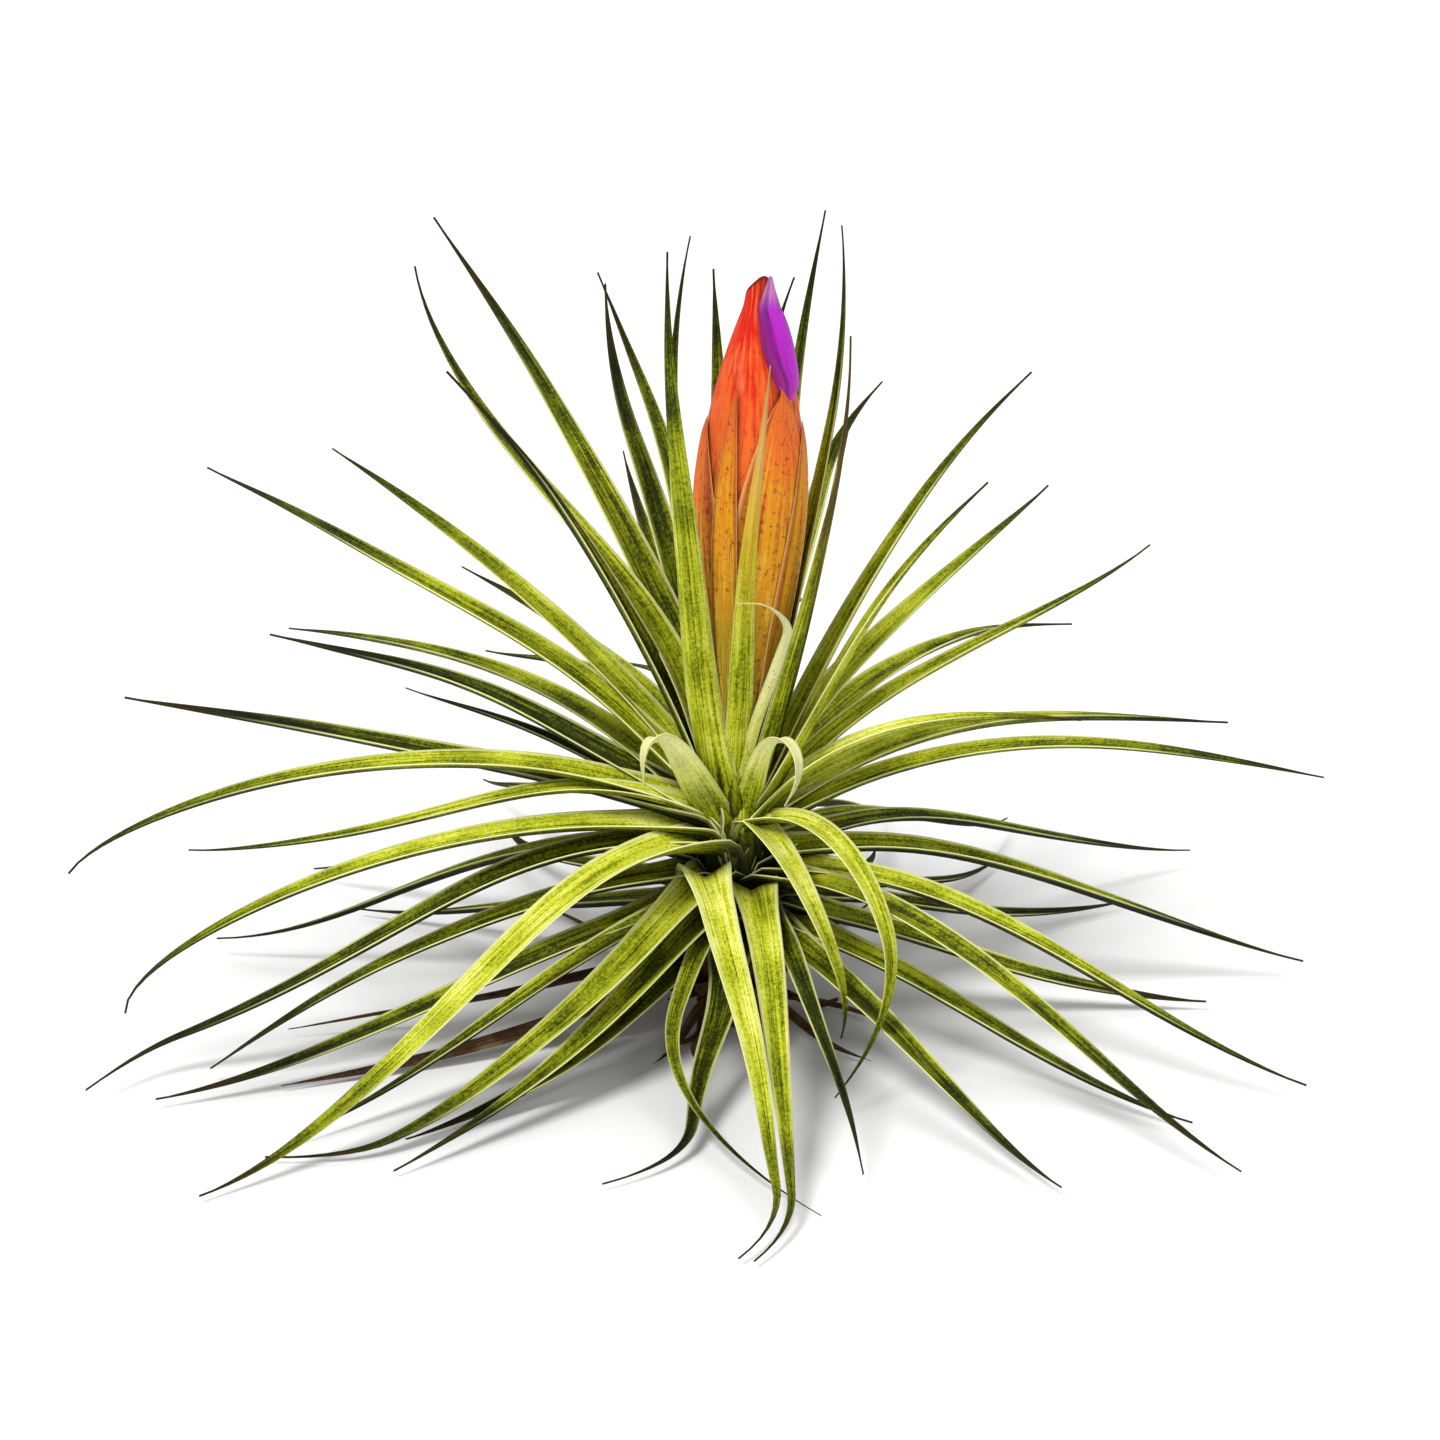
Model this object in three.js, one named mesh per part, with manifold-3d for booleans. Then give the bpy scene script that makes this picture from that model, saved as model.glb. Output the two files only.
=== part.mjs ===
// A Mexican ionantha air plant coming into flower, standing on a table by itself.
// Narrow channelled leaves arch out of a short stem and down to the table, a spindle of orange
// bracts rises out of the crown between upright leaves, and one violet bud slips out of its tip.
// A brown stub with dry leaves and wiry root ends stands under the crown.
// Millimetres and degrees, +Z up. The origin is on the stem's axis, on the table.
// A turn runs from +X towards +Y, so 270 points at a viewer who looks along +Y, and 180 to their left.
import * as THREE from "three";
import { mergeVertices } from "three/addons/utils/BufferGeometryUtils.js";
import Module from "manifold-3d";

const wasm = await Module();
wasm.setup();

// Driving dimensions
const fitGap = 0.35; // between pieces that touch
const stub = { foot: 4.4, waist: 5.6, top: 4.6, height: 11, sides: 14 };
const stem = { foot: 4.2, middle: 4, neck: 4.4, height: 36, sides: 14 };
const blade = {
  width: 5, // along the first half of its length
  flare: 3.2, // added where it clasps the stem
  thick: 0.7,
  rootThick: 1.3,
  channel: 0.2, // height of the edges over the middle, as a share of the width
  claspChannel: 0.34, // the same where it clasps the stem
  rootAt: 1.6, // from the stem's axis
  crownFrom: 26.5, // leaves that spring from above this clasp the spike's foot
  crownRootAt: 3.4,
  taper: 2.2, // the higher, the later a blade narrows
  slender: 1.3, // the same for slender blades
};
const spike = {
  foot: 32,
  footRadius: 2.6,
  widestHeight: 73,
  widest: 6.4,
  tip: 100.5,
  tipRadius: 0.3,
  nozzle: 1.5, // least radius above the widest height, where the bracts stay open
  lean: 2.5,
  sides: 20,
};
const bract = { rows: 8, sunk: 1.2, room: 1 };
const bud = {
  turn: 316,
  foot: 79,
  tip: 102,
  thick: 1.9, // half its thickness, out from the spike
  wide: 2.7, // half its width
  deep: 3.2,
  shallow: 1,
  rows: 8,
  sides: 10,
};
const root = { radius: 0.55, depth: 2, steps: 7, sides: 5 };

const radians = THREE.MathUtils.degToRad;
const { lerp, smoothstep } = THREE.MathUtils;

// Solids

function toSolid(geometry) {
  const bare = geometry.clone();
  bare.deleteAttribute("normal");
  bare.deleteAttribute("uv");
  const merged = mergeVertices(bare, 1e-4);
  const triVerts = new Uint32Array(merged.index.array);
  const vertProperties = new Float32Array(merged.attributes.position.array);
  return new wasm.Manifold(new wasm.Mesh({ numProp: 3, vertProperties, triVerts }));
}

function toGeometry(solid) {
  const mesh = solid.getMesh();
  const geometry = new THREE.BufferGeometry();
  geometry.setAttribute("position", new THREE.BufferAttribute(mesh.vertProperties, 3));
  geometry.setIndex(new THREE.BufferAttribute(mesh.triVerts, 1));
  const flat = geometry.toNonIndexed();
  flat.computeVertexNormals();
  return flat;
}

// The outer body of a join: a scrap cut loose is dropped, and a sealed hollow is filled.
function outerBody(solid) {
  const bodies = solid.decompose();
  return bodies.reduce((best, body) => (body.volume() > best.volume() ? body : best));
}

function join(geometries) {
  return geometries.map(toSolid).reduce((whole, next) => whole.add(next));
}

// A closed skin over rings of equally many points, which run anticlockwise seen from the far end.
function skin(rings, endPoint) {
  const sides = rings[0].length;
  const points = [...rings.flat(), endPoint];
  const faces = [];
  for (let ring = 0; ring + 1 < rings.length; ring += 1) {
    for (let side = 0; side < sides; side += 1) {
      const near = ring * sides + side;
      const next = ring * sides + ((side + 1) % sides);
      faces.push(near, next, near + sides);
      faces.push(next, next + sides, near + sides);
    }
  }
  for (let side = 1; side + 1 < sides; side += 1) faces.push(0, side + 1, side);
  const last = (rings.length - 1) * sides;
  for (let side = 0; side < sides; side += 1) {
    faces.push(last + side, last + ((side + 1) % sides), points.length - 1);
  }
  const geometry = new THREE.BufferGeometry().setFromPoints(points);
  geometry.setIndex(faces);
  return geometry;
}

function turned(profile, sides) {
  const points = profile.map(([radius, height]) => new THREE.Vector2(radius, height));
  return new THREE.LatheGeometry(points, sides).rotateX(Math.PI / 2);
}

// Leaves
// Each leaf is a blade swept along one arch in an upright plane. It leaves the stem at height from,
// climbing at the angle rise, and its tip lies reach out from the axis, at height tip, where the
// blade runs at the angle end. pull and trail are how strongly it keeps those two directions.
// aside shifts it sideways, towards higher turns, and sway bends it that way by so much at the tip.
// hook is how far the tip turns sideways, and over which last part of the blade. wide scales its width,
// taper is how late it narrows, and steps is how many lengths the arch is divided into.

const floorLeaves = [
  { turn: 219, reach: 83, tip: 1, from: 23.5, rise: 29, end: 0 },
  {
    turn: 235, reach: 68, tip: 1, from: 21, rise: 4, end: 2,
    pull: 0.25, trail: 0.5, sway: -17, hook: [-6, 0.16],
  },
  { turn: 238, reach: 61, tip: 1, from: 17, rise: 0, end: 0, pull: 0.28, trail: 0.5, sway: -11, wide: 0.9 },
  { turn: 232, reach: 55, tip: 1, from: 13, rise: -10, end: 0, pull: 0.3, trail: 0.5, sway: -9, wide: 0.9 },
  { turn: 201, reach: 79, tip: 1.5, from: 17, rise: -3, end: 0, wide: 0.95 },
  { turn: 194, reach: 87, tip: 2.5, from: 23, rise: 22, end: -6, hook: [7, 0.14] },
  { turn: 197, reach: 71, tip: 2, from: 20, rise: 8, end: -30, wide: 0.9 },
  {
    turn: 266, reach: 50, tip: 1, from: 13, rise: -8, end: 0,
    pull: 0.3, sway: -4, wide: 0.9, hook: [-8.5, 0.25],
  },
  {
    turn: 254, reach: 51.5, tip: 1, from: 15, rise: 4, end: -4,
    trail: 0.5, aside: -1.5, wide: 0.65, hook: [27, 0.6],
  },
  {
    turn: 278, reach: 66.5, tip: 1, from: 21.5, rise: 14, end: -10,
    aside: -4.7, sway: 2.5, hook: [-6.5, 0.15],
  },
  {
    turn: 277.5, reach: 67.5, tip: 1, from: 19.5, rise: 10, end: -8,
    aside: 1.6, sway: -3, hook: [-5, 0.15],
  },
  { turn: 280, reach: 50, tip: 1.5, from: 18, rise: 8, end: -48, aside: 1, wide: 0.85 },
  { turn: 212, reach: 66, tip: 1.5, from: 18, rise: -2, end: -6, sway: 3, wide: 0.8 },
];

const airLeaves = [
  { turn: 192, reach: 81, tip: 8, from: 25, rise: 22, end: -92, pull: 0.4, trail: 0.12 },
  { turn: 178, reach: 90, tip: 19, from: 27, rise: 34, end: -58, pull: 0.4, trail: 0.12, wide: 1.05 },
  { turn: 184, reach: 72, tip: 26, from: 28, rise: 32, end: 4, wide: 0.8 },
  { turn: 170, reach: 84, tip: 40, from: 27, rise: 17, end: 7, pull: 0.32, wide: 1.1 },
  { turn: 160, reach: 68, tip: 46, from: 27, rise: 30, end: 5, pull: 0.3 },
  { turn: 150, reach: 53, tip: 37, from: 24, rise: 30, end: 8, wide: 0.7 },
  { turn: 155, reach: 78, tip: 68, from: 29, rise: 47, end: 20, pull: 0.38 },
  { turn: 150, reach: 66, tip: 69, from: 30, rise: 46, end: 22, pull: 0.32, wide: 0.9 },
  { turn: 305, reach: 24, tip: 6, from: 29.5, rise: -10, end: -110, wide: 0.95, taper: blade.slender },
  {
    turn: 320, reach: 30, tip: 3, from: 28, rise: 36, end: -100,
    pull: 0.5, trail: 0.5, sway: -2, hook: [-11.5, 0.35],
  },
  { turn: 352, reach: 45, tip: 45, from: 28, rise: 60, end: -2, wide: 1.15, taper: blade.slender },
];

const crownLeaves = [
  { turn: 130, reach: 62, tip: 99, from: 31, rise: 68, end: 50 },
  { turn: 139, reach: 58, tip: 94, from: 31, rise: 78, end: 66, pull: 0.42, trail: 0.3, wide: 0.85 },
  { turn: 125, reach: 48, tip: 90, from: 31, rise: 62, end: 46, wide: 0.9 },
  { turn: 112, reach: 43, tip: 93, from: 31, rise: 72, end: 62, wide: 0.8 },
  { turn: 156, reach: 37, tip: 88, from: 31, rise: 70, end: 54, wide: 0.9 },
  { turn: 225, reach: 11.8, tip: 106.6, from: 30, rise: 80, end: 92, wide: 1.06 },
  { turn: 146, reach: 9, tip: 105, from: 31, rise: 78, end: 96, wide: 0.7 },
  { turn: 274, reach: 10.5, tip: 93, from: 37, rise: 76, end: 94, sway: 3.5, wide: 0.7 },
  { turn: 328, reach: 14.5, tip: 83, from: 30, rise: 80, end: 84, wide: 0.9 },
  { turn: 348, reach: 14.5, tip: 93, from: 31, rise: 76, end: 90, wide: 0.9 },
  { turn: 58, reach: 18, tip: 107, from: 31, rise: 78, end: 94, wide: 0.9 },
  { turn: 34, reach: 19, tip: 105, from: 31, rise: 78, end: 84, wide: 0.8 },
  { turn: 85, reach: 16, tip: 98, from: 31, rise: 80, end: 82 },
  { turn: 18, reach: 39, tip: 87, from: 30, rise: 66, end: 48 },
  { turn: 354, reach: 32, tip: 76, from: 29, rise: 62, end: 46, wide: 1.1 },
];

const curledLeaves = [
  { turn: 228, reach: 17, tip: 38.8, from: 27, rise: 66, end: -95, pull: 1.1, trail: 0.45, wide: 1.15 },
  { turn: 300, reach: 12.2, tip: 34.8, from: 28, rise: 82, end: -128, pull: 1.5, trail: 1.38, aside: -0.8 },
  {
    turn: 290, reach: 9.4, tip: 60.5, from: 33, rise: 80, end: 185,
    pull: 0.8, trail: 0.3, sway: 3, wide: 0.4, hook: [-6, 0.35],
  },
];

// The rest of the rosette: tiers of leaves at even turns, each shaken a little by a fixed rule.
const tiers = [
  { count: 9, start: 312, step: 24, from: 15, reach: 64, tip: 1.6, rise: -2, end: 0 },
  { count: 10, start: 324, step: 22, from: 20, reach: 78, tip: 3, rise: 20, end: -12 },
  { count: 7, start: 8, step: 23, from: 25, reach: 80, tip: 30, rise: 36, end: -12 },
  { count: 5, start: 22, step: 26, from: 28.5, reach: 62, tip: 62, rise: 52, end: 24 },
  { count: 2, start: 74, step: 30, from: 31, reach: 24, tip: 92, rise: 76, end: 70 },
];

// A number from -1 to 1 that differs for every leaf and use.
function shake(index, use) {
  return Math.sin(index * 12.9 + use * 78.2) * Math.cos(index * 4.7 + use * 2.3);
}

function tierLeaves() {
  return tiers.flatMap((tier, row) =>
    Array.from({ length: tier.count }, (_, place) => {
      const index = row * 20 + place;
      return {
        turn: tier.start + tier.step * place + 6 * shake(index, 1),
        reach: tier.reach * (1 + 0.12 * shake(index, 2)),
        tip: tier.tip * (1 + 0.2 * shake(index, 3)),
        from: tier.from + shake(index, 7),
        rise: tier.rise + 6 * shake(index, 4),
        end: tier.end + 4 * shake(index, 5),
        sway: 9 * shake(index, 6),
        hook: [5 * shake(index, 10), 0.3],
        wide: 0.9 + 0.12 * shake(index, 8),
        steps: 8,
      };
    }),
  );
}

function leafArch({ reach, tip, from, rise, end, pull = 0.36, trail = 0.36 }) {
  const start = new THREE.Vector3(from > blade.crownFrom ? blade.crownRootAt : blade.rootAt, 0, from);
  const point = new THREE.Vector3(reach, 0, tip);
  const chord = start.distanceTo(point);
  const out = new THREE.Vector3(Math.cos(radians(rise)), 0, Math.sin(radians(rise)));
  const on = new THREE.Vector3(Math.cos(radians(end)), 0, Math.sin(radians(end)));
  return new THREE.CubicBezierCurve3(
    start,
    start.clone().addScaledVector(out, pull * chord),
    point.clone().addScaledVector(on, -trail * chord),
    point,
  );
}

function bladeWidth(share, taper) {
  const clasp = 1 - smoothstep(share, 0, 0.25);
  return blade.width * (1 - Math.pow(share, taper)) + blade.flare * clasp;
}

function leafGeometry(leaf) {
  const { turn, aside = 0, sway = 0, hook = [0, 1], wide = 1, taper = blade.taper, steps = 9 } = leaf;
  const arch = leafArch(leaf);
  const sideways = new THREE.Vector3(0, 1, 0);
  const [tipTurn, tipPart] = hook;
  const middleAt = (share) => {
    const late = Math.max(0, (share - 1 + tipPart) / tipPart);
    return arch.getPointAt(share).addScaledVector(sideways, aside + sway * share ** 2 + tipTurn * late ** 2);
  };
  const rings = [];
  for (let step = 0; step < steps; step += 1) {
    const share = step / steps;
    const along = arch.getTangentAt(share);
    const up = new THREE.Vector3(-along.z, 0, along.x);
    const half = 0.5 * bladeWidth(share, taper) * wide;
    const thick = lerp(blade.rootThick, blade.thick, Math.min(1, share * 4));
    const middle = middleAt(share);
    const at = (side, lift) => middle.clone().addScaledVector(sideways, side).addScaledVector(up, lift);
    const edge = lerp(blade.claspChannel, blade.channel, Math.min(1, share * 4)) * 2 * half;
    rings.push([at(half, edge), at(0, thick / 2), at(-half, edge), at(0, -thick / 2)]);
  }
  return skin(rings, middleAt(1)).rotateZ(radians(turn));
}

// Flower spike: a spindle core under overlapping pointed bracts, leaning a little to the right.

function spindleRadius(height) {
  const below = (height - spike.foot) / (spike.widestHeight - spike.foot);
  const above = (height - spike.widestHeight) / (spike.tip - spike.widestHeight);
  if (above <= 0) return lerp(spike.footRadius, spike.widest, Math.pow(smoothstep(below, 0, 1), 1.15));
  const narrow = Math.pow(Math.max(0, 1 - Math.pow(above, 1.7)), 0.9);
  return Math.max(spike.nozzle, lerp(spike.tipRadius, spike.widest, narrow));
}

function spindle(extra) {
  const heights = [spike.foot, 40, 48, 54, 60, 66, 70, 74, 79, 84, 89, 93, 97, spike.tip];
  const profile = heights.map((height) => [spindleRadius(height) + extra, height]);
  return turned([[0, spike.foot - extra], ...profile, [0, spike.tip + extra]], spike.sides);
}

// A bract runs up the core from height foot to height tip, and half wraps it by spread degrees.
// point is how late it narrows, and twist is how far round the core its tip lies from its foot.
const bracts = [
  { turn: 226, foot: 56, tip: 100, spread: 100, lift: 0.5, point: 5, twist: -14 },
  { turn: 90, foot: 56, tip: 99, spread: 85, lift: 0.35, point: 5 },
  { turn: 22, foot: 54, tip: 95, spread: 66, lift: 0.7, point: 4 },
  { turn: 297, foot: 44, tip: 88.5, spread: 64, lift: 0.9, point: 4, twist: 16 },
  { turn: 196, foot: 46, tip: 84, spread: 62, lift: 0.9 },
  { turn: 78, foot: 44, tip: 84, spread: 58, lift: 0.9 },
  { turn: 150, foot: 38, tip: 76, spread: 52, lift: 1.1 },
  { turn: 344, foot: 38, tip: 84, spread: 52, lift: 1.1 },
  { turn: 242, foot: 40, tip: 89, spread: 20, lift: 1.2, twist: -12 },
];

function bractGeometry({ turn, foot, tip, spread, lift, point = 2.4, twist = 0 }) {
  const rings = [];
  for (let row = 0; row < bract.rows; row += 1) {
    const share = row / bract.rows;
    const height = lerp(foot, tip, share);
    const half = radians(spread) * Math.pow(1 - Math.pow(share, point), 0.8) * (0.72 + 0.28 * share);
    const radius = spindleRadius(height);
    const cover = lerp(0.1, lift, smoothstep(share, 0, 0.4));
    const middle = radians(twist) * share;
    const at = (angle, out) => onCircle(radius + out, middle + angle, height);
    const outer = [-1, -0.6, -0.2, 0.2, 0.6, 1].map((part) => at(part * half, cover));
    const inner = [0.7, 0, -0.7].map((part) => at(part * half, -bract.sunk));
    rings.push([...outer, ...inner]);
  }
  const end = onCircle(spindleRadius(tip) + lift + 0.3, radians(twist), tip);
  return skin(rings, end).rotateZ(radians(turn));
}

function onCircle(radius, angle, height) {
  return new THREE.Vector3(radius * Math.cos(angle), radius * Math.sin(angle), height);
}

function leaned(geometry) {
  return geometry
    .translate(0, 0, -spike.foot)
    .rotateY(radians(spike.lean))
    .translate(0, 0, spike.foot);
}

// The bud is a pointed pod. Its foot lies deep in the spike, and higher up it comes to the surface of
// the right flank and follows it to the tip.
function budPlace(share, height) {
  const depth = lerp(bud.deep, bud.shallow, smoothstep(share, 0.04, 0.26));
  return Math.max(0.9, spindleRadius(height) - depth);
}

function budGeometry(extra) {
  const rings = [];
  for (let row = 0; row < bud.rows; row += 1) {
    const share = row / bud.rows;
    const height = lerp(bud.foot - extra, bud.tip + extra, share);
    const swell = Math.pow(Math.sin(Math.PI * lerp(0.12, 0.97, share)), 0.6);
    const out = budPlace(share, height);
    const ring = [];
    for (let side = 0; side < bud.sides; side += 1) {
      const angle = (2 * Math.PI * side) / bud.sides;
      const deep = (bud.thick * swell + extra) * Math.cos(angle);
      const across = (bud.wide * swell + extra) * Math.sin(angle);
      ring.push(new THREE.Vector3(out + deep, across, height));
    }
    rings.push(ring);
  }
  return skin(rings, new THREE.Vector3(budPlace(1, bud.tip), 0, bud.tip + extra)).rotateZ(radians(bud.turn));
}

// Root stub: a short brown foot with dry leaves that lie on the table and a few wiry root ends.

const dryLeaves = [
  { turn: 202, reach: 63, tip: 1, from: 8, rise: -14, end: 0, trail: 0.5, wide: 0.6 },
  { turn: 188, reach: 60, tip: 1.5, from: 8, rise: -2, end: -6, wide: 0.55 },
  { turn: 238, reach: 20, tip: 0.9, from: 6, rise: -20, end: 0, trail: 0.5, wide: 0.4 },
  { turn: 318, reach: 24, tip: 0.9, from: 6, rise: -20, end: 0, trail: 0.5, wide: 0.4 },
  { turn: 60, reach: 42, tip: 0.9, from: 7, rise: -8, end: 0, trail: 0.5, wide: 0.6 },
  { turn: 130, reach: 44, tip: 0.9, from: 7, rise: -6, end: 0, trail: 0.5, wide: 0.6 },
];

const roots = [
  { turn: 285, reach: 12, from: 4, bend: 3 },
  { turn: 262, reach: 17, from: 3, bend: -4 },
  { turn: 222, reach: 14, from: 4, bend: 4 },
  { turn: 165, reach: 13, from: 3.5, bend: -3 },
  { turn: 95, reach: 16, from: 4, bend: 4 },
  { turn: 20, reach: 14, from: 3.5, bend: -4 },
  { turn: 345, reach: 18, from: 4, bend: 4 },
];

function rootGeometry({ turn, reach, from, bend }) {
  const path = new THREE.CatmullRomCurve3([
    new THREE.Vector3(root.depth, 0, from),
    new THREE.Vector3(reach * 0.45, bend * 0.2, from * 0.75),
    new THREE.Vector3(reach * 0.75, bend * 0.9, 1.1),
    new THREE.Vector3(reach, bend * 0.6, 0.8),
  ]);
  const outline = new THREE.Shape().absarc(0, 0, root.radius, 0, 2 * Math.PI);
  const options = { steps: root.steps, curveSegments: root.sides, extrudePath: path };
  return new THREE.ExtrudeGeometry(outline, options).rotateZ(radians(turn));
}

// Pieces

const stemProfile = [
  [0, stub.height + fitGap],
  [stem.foot, stub.height + fitGap],
  [stem.middle, 20],
  [stem.middle, 29],
  [stem.neck, stem.height],
  [0, stem.height],
];
const stubProfile = [
  [0, 0],
  [stub.foot, 0],
  [stub.waist, 4],
  [stub.waist, 8],
  [stub.top, stub.height],
  [0, stub.height],
];

const slenderLeaves = crownLeaves.map((leaf) => ({ ...leaf, taper: blade.slender }));
const leaves = [...floorLeaves, ...airLeaves, ...slenderLeaves, ...curledLeaves, ...tierLeaves()];
const greenLeaves = join([turned(stemProfile, stem.sides), ...leaves.map(leafGeometry)]);
const spikeRoom = toSolid(leaned(spindle(bract.room + fitGap)));
const rosette = outerBody(greenLeaves.subtract(spikeRoom));

const budSolid = toSolid(leaned(budGeometry(0)));
const budRoom = toSolid(leaned(budGeometry(fitGap)));
const bractSolid = join([spindle(0), ...bracts.map(bractGeometry)].map(leaned));
const spikeSolid = outerBody(bractSolid.subtract(budRoom));

const deadParts = [...dryLeaves.map(leafGeometry), ...roots.map(rootGeometry)];
const stubSolid = join([turned(stubProfile, stub.sides), ...deadParts]);

const materials = {
  leaf: new THREE.MeshStandardMaterial({ color: 0x8f9a3a, roughness: 0.7, metalness: 0 }),
  bract: new THREE.MeshStandardMaterial({ color: 0xd8642a, roughness: 0.55, metalness: 0 }),
  petal: new THREE.MeshStandardMaterial({ color: 0x7a2bb8, roughness: 0.45, metalness: 0 }),
  dry: new THREE.MeshStandardMaterial({ color: 0x5c4026, roughness: 0.85, metalness: 0 }),
};

function piece(name, solid, material) {
  const mesh = new THREE.Mesh(toGeometry(solid), material);
  mesh.name = name;
  return mesh;
}

const plant = new THREE.Group();
plant.add(
  piece("leaf_rosette", rosette, materials.leaf),
  piece("flower_spike", spikeSolid, materials.bract),
  piece("violet_bud", budSolid, materials.petal),
  piece("root_stub", stubSolid, materials.dry),
);

export default plant;
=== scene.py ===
import math

import bpy
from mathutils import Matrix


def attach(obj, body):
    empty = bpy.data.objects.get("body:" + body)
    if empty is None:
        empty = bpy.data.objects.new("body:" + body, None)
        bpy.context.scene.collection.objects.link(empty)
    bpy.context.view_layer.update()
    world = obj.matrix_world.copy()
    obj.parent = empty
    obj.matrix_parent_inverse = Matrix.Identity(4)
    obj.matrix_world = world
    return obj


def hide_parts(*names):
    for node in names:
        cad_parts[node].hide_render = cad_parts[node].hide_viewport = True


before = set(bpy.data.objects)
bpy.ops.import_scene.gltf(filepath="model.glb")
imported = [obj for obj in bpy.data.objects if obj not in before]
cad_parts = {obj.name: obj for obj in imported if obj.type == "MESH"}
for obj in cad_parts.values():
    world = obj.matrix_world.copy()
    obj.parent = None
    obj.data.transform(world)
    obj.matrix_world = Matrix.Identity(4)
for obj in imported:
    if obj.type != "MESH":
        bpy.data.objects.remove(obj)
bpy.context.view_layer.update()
mm = 0.001  # sizes below are in mm and turns in degrees, apart from the stage, which is in metres


def between(first, last, share):
    return first + (last - first) * share


def smooth(value, low=0.0, high=1.0):
    part = min(1.0, max(0.0, (value - low) / (high - low)))
    return part * part * (3 - 2 * part)


def shake(index, use):  # a fixed number from -1 to 1 for each pair, in place of chance
    return math.sin(index * 12.9 + use * 78.2) * math.cos(index * 4.7 + use * 2.3)


def pick(*pieces):
    if bpy.context.mode != "OBJECT":
        bpy.ops.object.mode_set(mode="OBJECT")
    bpy.ops.object.select_all(action="DESELECT")
    for piece in pieces:
        piece.select_set(True)
    bpy.context.view_layer.objects.active = pieces[0]


def selectPoints(piece, wanted):
    pick(piece)
    bpy.ops.object.mode_set(mode="EDIT")
    bpy.ops.mesh.select_mode(type="VERT")
    bpy.ops.mesh.select_all(action="DESELECT")
    bpy.ops.object.mode_set(mode="OBJECT")
    for point in piece.data.vertices:
        point.select = wanted(point.co)
    bpy.ops.object.mode_set(mode="EDIT")


def doneEditing():
    bpy.ops.object.mode_set(mode="OBJECT")


def settle(piece):  # the place goes into the mesh, the object back to the origin
    pick(piece)
    bpy.ops.object.transform_apply(location=True, rotation=True, scale=True)


def modify(piece, kind, **settings):
    pick(piece)
    modifier = piece.modifiers.new(kind.lower(), kind)
    for name, value in settings.items():
        setattr(modifier, name, value)
    bpy.ops.object.modifier_apply(modifier=modifier.name)


def copyOf(master, name):
    pick(master)
    bpy.ops.object.duplicate(linked=False)
    piece = bpy.context.object
    piece.name = piece.data.name = name
    return piece


def joined(pieces, name):
    pick(*pieces)
    bpy.ops.object.join()
    whole = bpy.context.object
    whole.name = whole.data.name = name
    return whole


def paint(piece, name, value):  # a number kept on the points: one for all, or a list
    layer = piece.data.attributes.new(name, "FLOAT", "POINT")
    values = value if isinstance(value, list) else [value] * len(piece.data.vertices)
    layer.data.foreach_set("value", values)


class Wire:  # a node's output that can be added, multiplied and so on
    def __init__(self, socket):
        self.socket = socket
        self.tree = socket.id_data

    def maths(self, operation, other, swapped=False):
        pair = (other, self) if swapped else (self, other)
        return node(self.tree, "Math", {"operation": operation}, dict(enumerate(pair)))

    def __add__(self, other):
        return self.maths("ADD", other)

    def __radd__(self, other):
        return self.maths("ADD", other, True)

    def __sub__(self, other):
        return self.maths("SUBTRACT", other)

    def __rsub__(self, other):
        return self.maths("SUBTRACT", other, True)

    def __mul__(self, other):
        return self.maths("MULTIPLY", other)

    def __rmul__(self, other):
        return self.maths("MULTIPLY", other, True)

    def __pow__(self, other):
        return self.maths("POWER", other)

    def __abs__(self):
        return node(self.tree, "Math", {"operation": "ABSOLUTE"}, {0: self})


def node(tree, kind, settings=None, sockets=None, output=0):
    made = tree.nodes.new("ShaderNode" + kind)
    for name, value in (settings or {}).items():
        if name == "stops":
            ramp = made.color_ramp
            while len(ramp.elements) < len(value):
                ramp.elements.new(0.5)
            for element, (place, colour) in zip(ramp.elements, value):
                element.position = place
                element.color = (*colour, 1)
        else:
            setattr(made, name, value)
    for key, value in (sockets or {}).items():
        if isinstance(value, Wire):
            tree.links.new(value.socket, made.inputs[key])
        else:
            made.inputs[key].default_value = value
    return Wire(made.outputs[output])


def fade(value, low, high):  # 0 under low, 1 over high, smooth between
    settings = {"interpolation_type": "SMOOTHSTEP"}
    return node(value.tree, "MapRange", settings, {"Value": value, 1: low, 2: high})


def blend(share, under, over):  # a colour mix, from under at 0 to over at 1
    under, over = [(*colour, 1) if isinstance(colour, tuple) else colour for colour in (under, over)]
    return node(share.tree, "Mix", {"data_type": "RGBA"}, {0: share, 6: under, 7: over}, 2)


def noise(tree, place, scale, detail=2.0, roughness=0.55):
    sockets = {"Vector": place, "Scale": scale, "Detail": detail, "Roughness": roughness}
    return node(tree, "TexNoise", None, sockets)


def stretched(tree, x, y, z):
    return node(tree, "CombineXYZ", None, {0: x, 1: y, 2: z})


def attribute(tree, name):
    return node(tree, "Attribute", {"attribute_name": name}, None, 2)


def coordinates(tree, output):
    return node(tree, "TexCoord", None, None, output)


def parts(tree, place):
    split = node(tree, "SeparateXYZ", None, {0: place}).socket.node
    return [Wire(output) for output in split.outputs]


def finish(name, colour, roughness, bump, depth, **constants):
    tree = colour.tree
    height = node(tree, "Bump", None, {"Height": bump, "Strength": 1.0, "Distance": depth})
    sockets = {"Base Color": colour, "Roughness": roughness, "Normal": height}
    sockets.update(constants)
    shader = node(tree, "BsdfPrincipled", None, sockets)
    output = tree.nodes.new("ShaderNodeOutputMaterial")
    tree.links.new(shader.socket, output.inputs[0])
    return bpy.data.materials[name]


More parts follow.
